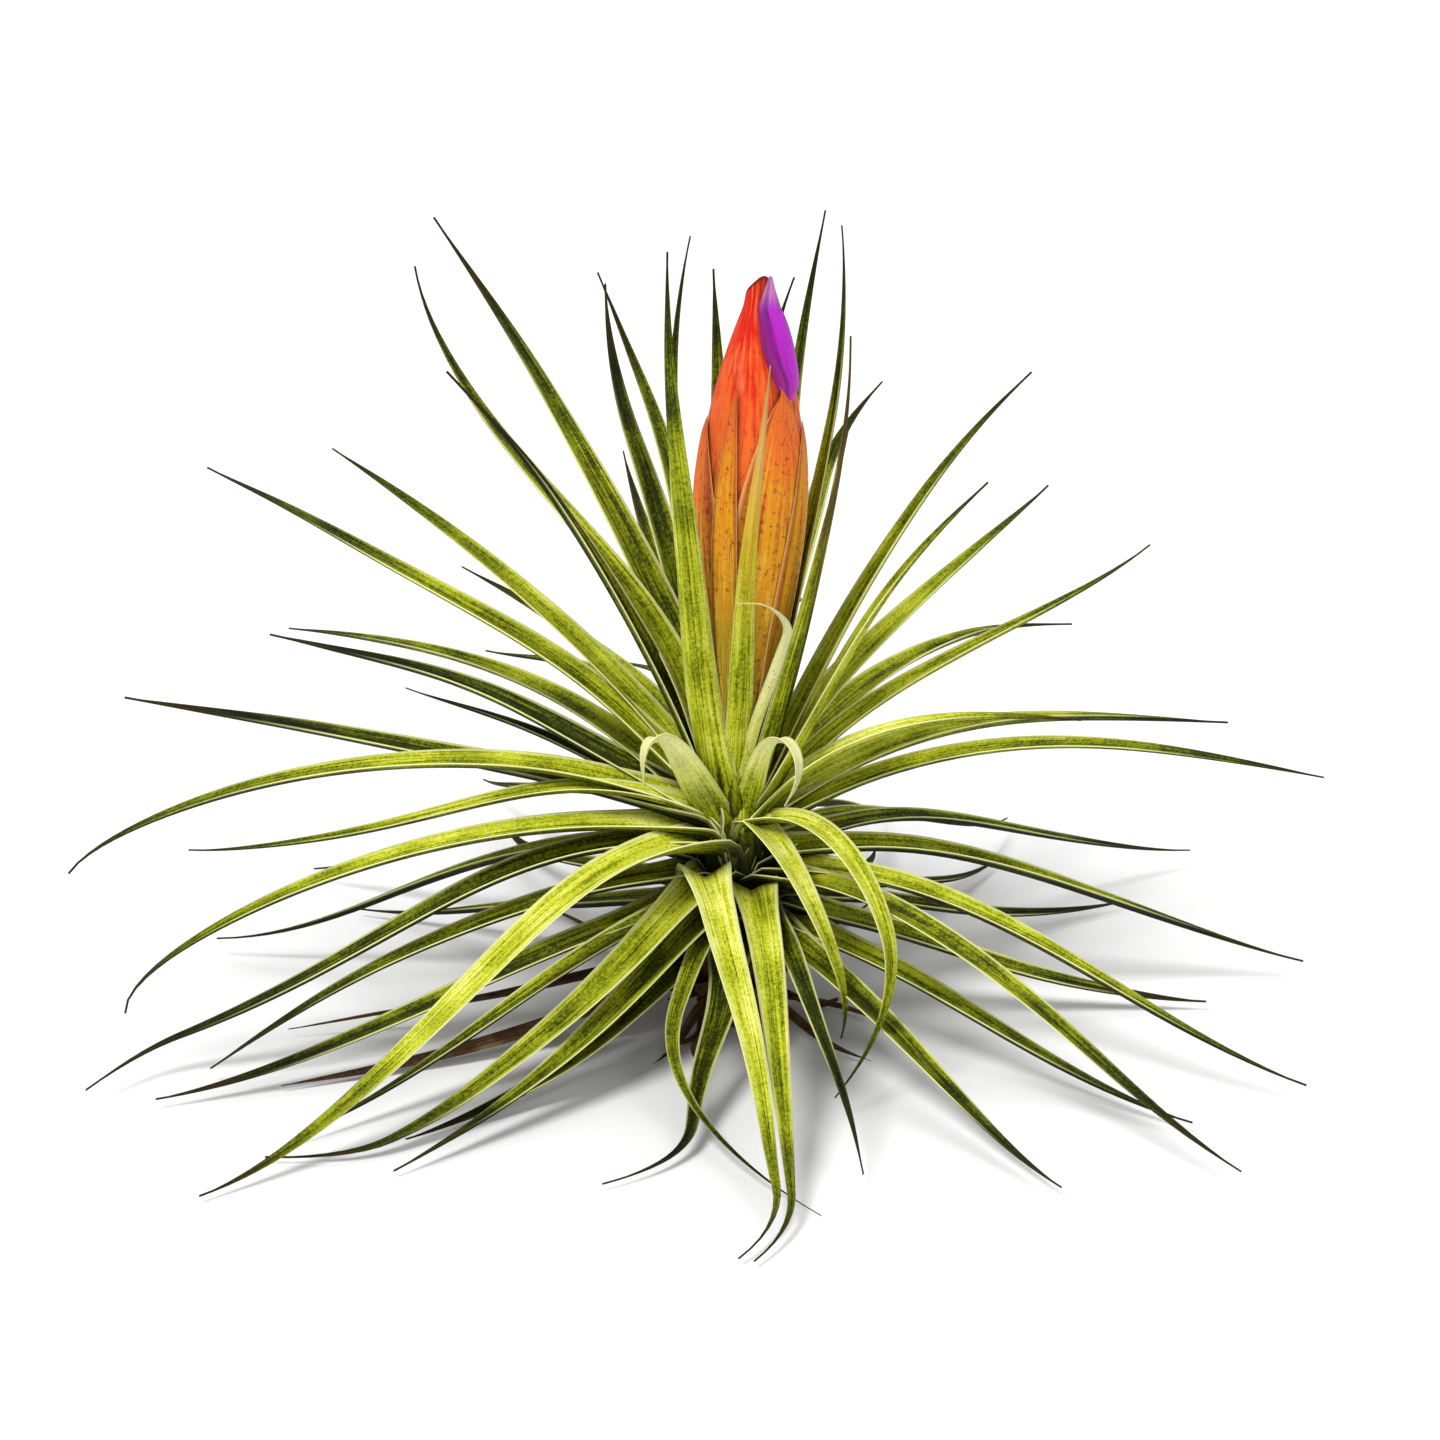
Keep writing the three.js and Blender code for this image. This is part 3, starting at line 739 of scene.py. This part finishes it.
# flower head
bractLook = {
    "red": (0.72, 0.012, 0.003),
    "coral": (0.86, 0.155, 0.022),
    "gold": (0.82, 0.34, 0.008),
    "glaze": (0.96, 0.62, 0.06),
    "rust": (0.36, 0.085, 0.003),
    "olive": (0.40, 0.27, 0.010),
    "margin": (0.86, 0.44, 0.16),
    "vein": (0.16, 0.018, 0.003),
    "fleck": (0.98, 0.40, 0.12),
    # mouth: near-black red, painted as shade at the open tips, along the top bracts' margins by the bud and
    # inside high up
    "mouth": (0.13, 0.003, 0.006),
    "streaks": (26, 3.2),  # how many across the bract and along it
    "blotches": (9, 7),
    "grain": 1500.0,
    "patches": 260.0,
    "relief": 0.00028,
    "gloss": 0.16,
}


def bractMaterial(name, side):
    tree = newTree(name)
    across, along = parts(tree, coordinates(tree, "UV"))[:2]
    place = coordinates(tree, "Object")
    height = parts(tree, place)[2]
    tone = attribute(tree, "bractTone")
    edge = abs(across * 2 - 1)
    streakAcross, streakAlong = bractLook["streaks"]
    blotchAcross, blotchAlong = bractLook["blotches"]
    streak = noise(tree, stretched(tree, across * streakAcross, along * streakAlong, tone * 19), 1.0, 3.0)
    grain = noise(tree, place, bractLook["grain"], 2.0, 0.7)
    patch = noise(tree, place, bractLook["patches"], 3.0, 0.6)
    blotch = noise(tree, stretched(tree, across * blotchAcross, along * blotchAlong, tone * 7), 1.0, 3.0, 0.6)
    rise = height * 1000 + (patch - 0.5) * 16 + (streak - 0.5) * 32 + (grain - 0.5) * 6 - tone * 14
    colour = blend(fade(rise, 40, 54), bractLook["olive"], bractLook["gold"])
    colour = blend(fade(blotch, 0.48, 0.66) * 0.6, colour, bractLook["glaze"])
    rusty = fade(streak * 0.5 + blotch * 0.3 + grain * 0.2, 0.47, 0.60) * fade(rise, 44, 60)
    colour = blend(rusty * 0.75, colour, bractLook["rust"])
    colour = blend(fade(rise, 58, 75), colour, bractLook["coral"])
    colour = blend(fade(rise + (blotch - 0.5) * 40, 78, 96), colour, bractLook["red"])
    colour = blend(fade(blotch, 0.50, 0.72) * fade(rise, 66, 82) * 0.4, colour, bractLook["fleck"])
    colour = blend(fade(streak, 0.56, 0.70) * 0.5, colour, bractLook["vein"])
    specks = fade(grain * 0.75 + streak * 0.25, 0.56, 0.65) * (1 - fade(rise, 76, 94)) * 0.6
    colour = blend(specks, colour, bractLook["vein"])
    outline = fade(edge + (streak - 0.5) * 0.24, 0.70, 0.84) * 0.5
    colour = blend(outline, colour, bractLook["vein"])
    # painted shade: the top bracts' margins high up, where they meet the bud, are made near-black red
    seamShade = (1 - fade(tone, 0.1, 0.2)) * fade(height * 1000, 83, 90)
    margin = fade(edge + (streak - 0.5) * 0.1, 0.90, 0.98)
    edging = blend(seamShade, bractLook["margin"], bractLook["mouth"])
    colour = blend(margin * (0.9 if side == "rim" else 0.66), colour, edging)
    # painted shade: the lip of each top bract's open tip is made near-black red
    mouth = fade(along + (streak - 0.5) * 0.01, 0.984, 0.994) * (1 - fade(tone, 0.1, 0.2))
    colour = blend(mouth * 0.9, colour, bractLook["mouth"])
    # painted shade: the inner faces, and the core, are made near-black red high up where the head opens
    if side == "inside":
        colour = blend(fade(rise, 60, 80) * 0.9, colour, bractLook["mouth"])
    relief = streak * 0.7 + grain * 0.2 + patch * 0.3
    constants = {"Specular IOR Level": bractLook["gloss"]}
    return finish(name, colour, 0.42 + grain * 0.18, relief, bractLook["relief"], **constants)


bractOut = bractMaterial("bractOutside", "outside")
bractIn = bractMaterial("bractInside", "inside")
bractRim = bractMaterial("bractRim", "rim")

spikeForm = {
    "foot": 32, "footRadius": 2.6, "footCurve": 1.15, "widestHeight": 73, "widest": 6.4,
    "tip": 100.5, "tipRadius": 0.3, "tipCurve": 1.7, "tipRound": 0.9, "top": 103.0, "nozzle": 1.25,
    "mouth": 97.2, "sink": (0.7, 0.7, 0.02), "lean": 2.5, "sides": 40, "rings": 44, "roll": 10,
}

bractForm = {
    "columns": 14, "rows": 26, "thick": 0.34, "edgeThin": 0.65, "tipThin": 0.75,
    "blunt": 0.02, "point": 2.4, "sideCurve": 0.8, "footShare": 0.72, "bellyShare": 0.28,
    "twist": 0, "tipBand": 0.1, "pinch": 0.05,
}

# spread is half the angle round the core, lift the room over it, point how late it narrows,
# blunt the width that stays at the tip and slant how far one side of that rises
bracts = [
    {"turn": 226, "foot": 56, "tip": 99.2, "spread": 105, "lift": 0.5, "blunt": 0.52, "slant": 3.2,
     "point": 6, "tone": 0.0},
    {"turn": 90, "foot": 56, "tip": 99, "spread": 90, "lift": 0.35, "blunt": 0.6, "slant": 0,
     "point": 7, "tone": 0.1},
    {"turn": 18, "foot": 54, "tip": 95, "spread": 78, "lift": 0.7, "point": 4, "tone": 0.25},
    {"turn": 297, "foot": 44, "tip": 89, "spread": 66, "lift": 0.9, "twist": 14, "point": 3.2, "tone": 0.7},
    {"turn": 196, "foot": 46, "tip": 84, "spread": 62, "lift": 0.9, "tone": 0.35},
    {"turn": 78, "foot": 44, "tip": 84, "spread": 58, "lift": 0.9, "tone": 0.6},
    {"turn": 150, "foot": 38, "tip": 76, "spread": 52, "lift": 1.1, "tone": 0.8},
    {"turn": 344, "foot": 38, "tip": 84, "spread": 52, "lift": 1.1, "tone": 0.8},
    {"turn": 246, "foot": 40, "tip": 89, "spread": 20, "lift": 1.2, "twist": -2, "tone": 0.9},
]


def spindleRadius(height):
    form = spikeForm
    if height <= form["widestHeight"]:
        rise = (height - form["foot"]) / (form["widestHeight"] - form["foot"])
        return between(form["footRadius"], form["widest"], smooth(rise) ** form["footCurve"])
    rise = (height - form["widestHeight"]) / (form["tip"] - form["widestHeight"])
    full = max(0, 1 - rise ** form["tipCurve"]) ** form["tipRound"]
    return max(form["nozzle"], between(form["tipRadius"], form["widest"], full))


def leanOver(piece):  # about the foot of the flower head, to the right
    turn = math.radians(spikeForm["lean"])
    foot = spikeForm["foot"] * mm
    piece.rotation_euler = (0, turn, 0)
    piece.location = (-foot * math.sin(turn), 0, foot * (1 - math.cos(turn)))
    settle(piece)


def makeBractSheet():
    columns = bractForm["columns"]
    rows = bractForm["rows"]
    bpy.ops.mesh.primitive_grid_add(x_subdivisions=columns, y_subdivisions=rows, size=1,
                                    location=(0, 0, 0.5), rotation=(math.pi / 2, 0, 0))
    sheet = bpy.context.object
    sheet.name = "bractMaster"
    for material in (bractOut, bractIn, bractRim):
        sheet.data.materials.append(material)
    settle(sheet)
    return sheet


def wrapBract(master, core, bract):
    form = bractForm
    roll = spikeForm["roll"] * mm
    around = 2 * math.radians(bract["spread"]) * roll
    tall = (bract["tip"] - bract["foot"]) * mm
    top = (bract["tip"] - form["tipBand"]) * mm
    blunt = bract.get("blunt", form["blunt"])
    rows = form["rows"]
    piece = copyOf(master, "bract")
    for row in range(rows + 1):
        share = row / rows
        narrowing = (1 - share ** bract.get("point", form["point"])) ** form["sideCurve"]
        part = max(blunt, narrowing * (form["footShare"] + form["bellyShare"] * share))
        selectPoints(piece, lambda point: abs(point.z - share) < ringReach / rows)
        bpy.ops.transform.resize(value=(part, 1, 1), center_override=(0, 0, share))
        doneEditing()
    piece.scale = (around, 1, tall)
    piece.location = (0, 0, bract["foot"] * mm)
    settle(piece)
    selectPoints(piece, lambda point: point.z > top)
    twist = math.radians(bract.get("twist", form["twist"])) * roll
    bpy.ops.transform.translate(value=(twist, 0, 0), **pulling("LINEAR", tall))
    doneEditing()
    if "slant" in bract:  # the open tip rises towards the bud
        edge = max(point.co.x for point in piece.data.vertices if point.co.z > top)
        selectPoints(piece, lambda point: point.z > top and point.x > edge - form["tipBand"] * mm)
        bpy.ops.transform.translate(value=(0, 0, bract["slant"] * mm), **pulling("LINEAR", around * blunt))
        doneEditing()
    places = [point.co.x for point in piece.data.vertices]
    angle = (max(places) - min(places)) / roll
    modify(piece, "SIMPLE_DEFORM", deform_method="BEND", deform_axis="Z", angle=angle)
    piece.location = (0, -roll, 0)
    settle(piece)
    modify(piece, "SHRINKWRAP", target=core, wrap_method="PROJECT", wrap_mode="ABOVE_SURFACE",
           use_negative_direction=True, use_positive_direction=False, offset=bract["lift"] * mm)
    if "blunt" not in bract:  # the wrap spreads the points of the tip, which come together again here
        ends = [point.co for point in piece.data.vertices if point.co.z > top]
        middle = [sum(end[axis] for end in ends) / len(ends) for axis in range(3)]
        selectPoints(piece, lambda point: point.z > top)
        bpy.ops.transform.resize(value=(form["pinch"], form["pinch"], 1), center_override=middle)
        doneEditing()
    body = piece.vertex_groups.new(name="body")
    uv = piece.data.uv_layers[0].data
    for loop in piece.data.loops:
        across, along = uv[loop.index].uv
        thin = (1 - form["edgeThin"] * abs(2 * across - 1) ** 3) * (1 - form["tipThin"] * along ** 8)
        body.add([loop.vertex_index], thin, "REPLACE")
    modify(piece, "SOLIDIFY", thickness=form["thick"] * mm, offset=-1, vertex_group="body",
           material_offset=1, material_offset_rim=2)
    modify(piece, "SUBSURF", levels=1, render_levels=1)
    piece.rotation_euler = (0, 0, math.radians(bract["turn"] - 270))
    settle(piece)
    paint(piece, "bractTone", bract["tone"])
    pick(piece)
    bpy.ops.object.shade_smooth_by_angle(angle=math.radians(60))
    return piece


def makeFlowerHead():
    form = spikeForm
    core = rollTube("core", form["sides"], form["rings"], form["foot"], form["top"] - form["foot"],
                    lambda share: spindleRadius(between(form["foot"], form["top"], share)))
    core.data.materials.append(bractIn)
    paint(core, "bractTone", 0.2)
    sheet = makeBractSheet()
    pieces = [wrapBract(sheet, core, bract) for bract in bracts]
    bpy.data.objects.remove(sheet)
    selectPoints(core, lambda point: point.z > form["mouth"] * mm)  # the hollow between the open tips
    bpy.ops.transform.resize(value=form["sink"], center_override=(0, 0, form["mouth"] * mm))
    doneEditing()
    head = joined([core, *pieces], "flowerHead")
    leanOver(head)
    return head


flowerHead = makeFlowerHead()
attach(flowerHead, "root")
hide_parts("flower_spike")
print("bracts wrapped, faces", len(flowerHead.data.polygons))


# violet bud
budLook = {
    "violet": (0.48, 0.010, 0.56),
    "shade": (0.24, 0.002, 0.14),
    # rim: dark violet, for the veins and as painted shade at the right margin and along the fold
    "rim": (0.070, 0.002, 0.12),
    "pink": (0.58, 0.022, 0.30),
    "tip": (0.66, 0.26, 0.56),
    "streaks": (34, 3),  # how many round the bud and along it
    "grain": 1800.0,
    "relief": 0.0003,
    "sheen": 0.06,
    "gloss": 0.25,
}

budForm = {
    "turn": 316, "foot": 79, "tip": 102, "thick": 1.9, "wide": 2.7, "footWide": 0.62,
    "swell": (0.12, 0.985), "swellCurve": 0.6, "tipThin": 0.4, "deep": 3.2, "shallow": 0.6,
    "bulge": 1.1, "nearest": 1.7, "aside": 1.1, "sides": 30, "rings": 40,
}


def petalMaterial():
    tree = newTree("violetPetal")
    around, along = parts(tree, coordinates(tree, "UV"))[:2]
    place = coordinates(tree, "Object")
    height = parts(tree, place)[2]
    streakAround, streakAlong = budLook["streaks"]
    streak = noise(tree, stretched(tree, around * streakAround, along * streakAlong, 0.0), 1.0, 3.0)
    grain = noise(tree, place, budLook["grain"], 2.0)
    # -1 at the left margin, 1 at the right
    side = (around - 0.75) * 4 + along * 0.5 - 0.25 + (streak - 0.5) * 0.5
    colour = blend(fade(side, -0.9, 0.0), budLook["shade"], budLook["violet"])
    # painted shade: the right margin is made dark violet
    colour = blend(fade(side, 0.35, 0.9), colour, budLook["rim"])
    low = (1 - fade(height * 1000 + (streak - 0.5) * 5, 83, 91)) * 0.75
    colour = blend(low, colour, budLook["pink"])
    colour = blend(fade(streak, 0.54, 0.72) * 0.45, colour, budLook["rim"])
    colour = blend(fade(height * 1000 + (streak - 0.5) * 4, 97.5, 101.0) * 0.9, colour, budLook["tip"])
    # painted shade along the fold line of the rolled petal
    fold = 1 - fade(abs(side + 0.45), 0.0, 0.14)
    colour = blend(fold * 0.25, colour, budLook["rim"])
    relief = streak * 0.6 + grain * 0.2 - fold
    constants = {"Sheen Weight": budLook["sheen"], "Specular IOR Level": budLook["gloss"]}
    return finish("violetPetal", colour, 0.36 + grain * 0.15, relief, budLook["relief"], **constants)


def makeBud():
    form = budForm

    def size(share):
        swell = math.sin(math.pi * between(*form["swell"], share)) ** form["swellCurve"]
        swell = swell * (1 - form["tipThin"] * smooth(share, 0.8, 1))
        wide = form["wide"] * swell * between(form["footWide"], 1, smooth(share, 0.3, 0.7))
        return form["thick"] * swell, wide

    def centre(share):
        height = between(form["foot"], form["tip"], share)
        sunk = between(form["deep"], form["shallow"], smooth(share, 0.18, 0.46))
        bulge = form["bulge"] * math.sin(math.pi * share ** 2)
        out = max(form["nearest"], spindleRadius(min(height, spikeForm["tip"])) - sunk + bulge)
        return out, form["aside"] * (1 - smooth(share, 0.3, 0.7))

    tall = form["tip"] - form["foot"]
    bud = rollTube("violetBud", form["sides"], form["rings"], form["foot"], tall, size, centre)
    bud.data.materials.append(petalMaterial())
    bud.rotation_euler = (0, 0, math.radians(form["turn"]))
    settle(bud)
    leanOver(bud)
    return bud


bud = makeBud()
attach(bud, "root")
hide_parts("violet_bud")
print("bud made")


# brown foot with its dead leaves and roots
stubForm = {
    "profile": [(4.4, 0), (5.6, 4), (5.6, 8), (4.6, 11)], "sides": 36, "rings": 26,
    "dryShakes": 80, "scaleShakes": 100,  # the first index of each kind's shakes
}

dryLeaves = [
    leaf(202, 63, 1, 8, -14, 0, trail=0.5, wide=0.6, twist=60),
    leaf(188, 60, 1.5, 8, -2, -6, wide=0.55, twist=-50),
    leaf(238, 20, 0.9, 6, -20, 0, trail=0.5, wide=0.36, twist=70),
    leaf(318, 24, 0.9, 6, -20, 0, trail=0.5, wide=0.36, twist=-60),
    leaf(60, 42, 0.9, 7, -8, 0, trail=0.5, wide=0.6, twist=55),
    leaf(130, 44, 0.9, 7, -6, 0, trail=0.5, wide=0.6, twist=-65),
]

roots = [  # turn, reach, height on the stub, sideways bend
    (285, 12, 4, 3), (262, 17, 3, -4), (222, 14, 4, 4), (165, 13, 3.5, -3),
    (95, 16, 4, 4), (20, 14, 3.5, -4), (345, 18, 4, 4),
]

rootForm = {"thick": 0.55, "radii": (1.0, 0.9, 0.75, 0.45), "bevels": 2, "steps": 12}

scaleForm = {  # the torn leaf bases round the stub
    "count": 16, "turnStep": 67, "turnShake": 8, "reach": 9.5, "reachShake": 1.5, "tip": 2.6,
    "tipStep": 0.35, "root": 1.6, "rootStep": 0.42, "rise": 10, "end": 40, "endShake": 20,
    "wide": 0.8, "twist": 20,
}


def makeRoot(turn, reach, root, bend):
    form = rootForm
    bpy.ops.curve.primitive_bezier_curve_add()
    wire = bpy.context.object
    line = wire.data.splines[0]
    line.bezier_points.add(2)
    places = ((2, 0, root), (0.45 * reach, 0.2 * bend, 0.75 * root),
              (0.75 * reach, 0.9 * bend, 1.1), (reach, 0.6 * bend, 0.8))
    for point, place in zip(line.bezier_points, places):
        point.co = [number * mm for number in place]
        point.handle_left_type = point.handle_right_type = "AUTO"
    for point, radius in zip(line.bezier_points, form["radii"]):
        point.radius = radius
    wire.data.bevel_depth = form["thick"] * mm
    wire.data.bevel_resolution = form["bevels"]
    wire.data.resolution_u = form["steps"]
    wire.data.use_fill_caps = True
    pick(wire)
    bpy.ops.object.convert(target="MESH")
    wire = bpy.context.object
    wire.rotation_euler = (0, 0, math.radians(turn))
    settle(wire)
    bpy.ops.object.shade_smooth()
    return wire


def stubScale(index):
    form = scaleForm
    return leaf(index * form["turnStep"] + form["turnShake"] * shake(index, 21),
                form["reach"] + form["reachShake"] * shake(index, 22),
                form["tip"] + form["tipStep"] * index,
                form["root"] + form["rootStep"] * index,
                form["rise"],
                form["end"] + form["endShake"] * shake(index, 23),
                wide=form["wide"], twist=form["twist"] * shake(index, 24))


def makeStub():
    profile = stubForm["profile"]
    stub = rollTube("stub", stubForm["sides"], stubForm["rings"], 0, profile[-1][1], profileRadius(profile))
    blade = makeBlade((dryFibre,))
    pieces = [stub]
    for index, one in enumerate(dryLeaves):
        pieces.append(bendLeaf(blade, "dryLeaf", one, stubForm["dryShakes"] + index))
    for index in range(scaleForm["count"]):
        pieces.append(bendLeaf(blade, "scale", stubScale(index), stubForm["scaleShakes"] + index))
    bpy.data.objects.remove(blade)
    for root in roots:
        pieces.append(makeRoot(*root))
    for piece in pieces:
        piece.data.materials.clear()
        piece.data.materials.append(dryFibre)
    return joined(pieces, "rootStub")


rootStub = makeStub()
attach(rootStub, "root")
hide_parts("root_stub")
print("stub and roots made, faces", len(rootStub.data.polygons))


# floor, light and camera
stageForm = {
    "floor": 12.0,
    "floorColours": ((0.86, 0.86, 0.85), (0.90, 0.90, 0.89)),
    "sky": (1, 1, 1, 1),
    "skyStrength": 0.46,
    "eye": (0, -0.3958, 0.1950),
    "aim": (-0.002, 0, 0.0425),
    "lens": 81,
    "lightAim": (0, 0, 0.04),
}

suns = [  # name, place, strength, softness in degrees
    ("keyLight", (-0.4, -0.35, 0.9), 2.3, 20),
    ("fillLight", (0.6, -0.4, 0.8), 0.6, 30),
    ("backLight", (0.1, 0.5, 0.9), 0.6, 30),
]


def makeStage():
    bpy.ops.mesh.primitive_plane_add(size=stageForm["floor"], location=(0, 0, 0))
    floor = bpy.context.object
    floor.name = "floor"
    tree = newTree("paleFloor")
    grain = noise(tree, coordinates(tree, "Object"), 40.0, 3.0)
    colour = blend(grain, *stageForm["floorColours"])
    floor.data.materials.append(finish("paleFloor", colour, 0.6 + grain * 0.1, grain, 0.0001))
    world = bpy.data.worlds.new("paleSky")
    bpy.context.scene.world = world
    world.use_nodes = True
    sky = world.node_tree.nodes["Background"]
    sky.inputs["Color"].default_value = stageForm["sky"]
    sky.inputs["Strength"].default_value = stageForm["skyStrength"]


def turnTo(aim, eye):  # the turn that looks from eye to aim
    direction = [a - b for a, b in zip(aim, eye)]
    flat = math.hypot(direction[0], direction[1])
    return math.atan2(flat, -direction[2]), 0, math.atan2(direction[1], direction[0]) - math.pi / 2


def addSun(name, place, strength, softness):
    turn = turnTo(stageForm["lightAim"], place)
    bpy.ops.object.light_add(type="SUN", location=place, rotation=turn)
    sun = bpy.context.object
    sun.name = name
    sun.data.energy = strength
    sun.data.angle = math.radians(softness)


def addCamera():
    eye, aim = stageForm["eye"], stageForm["aim"]
    bpy.ops.object.camera_add(location=eye, rotation=turnTo(aim, eye))
    camera = bpy.context.object
    camera.data.lens = stageForm["lens"]
    camera.data.clip_start = 0.01
    bpy.context.scene.camera = camera


makeStage()
for sun in suns:
    addSun(*sun)
addCamera()
bpy.context.scene.view_settings.view_transform = "Standard"
print("stage set")
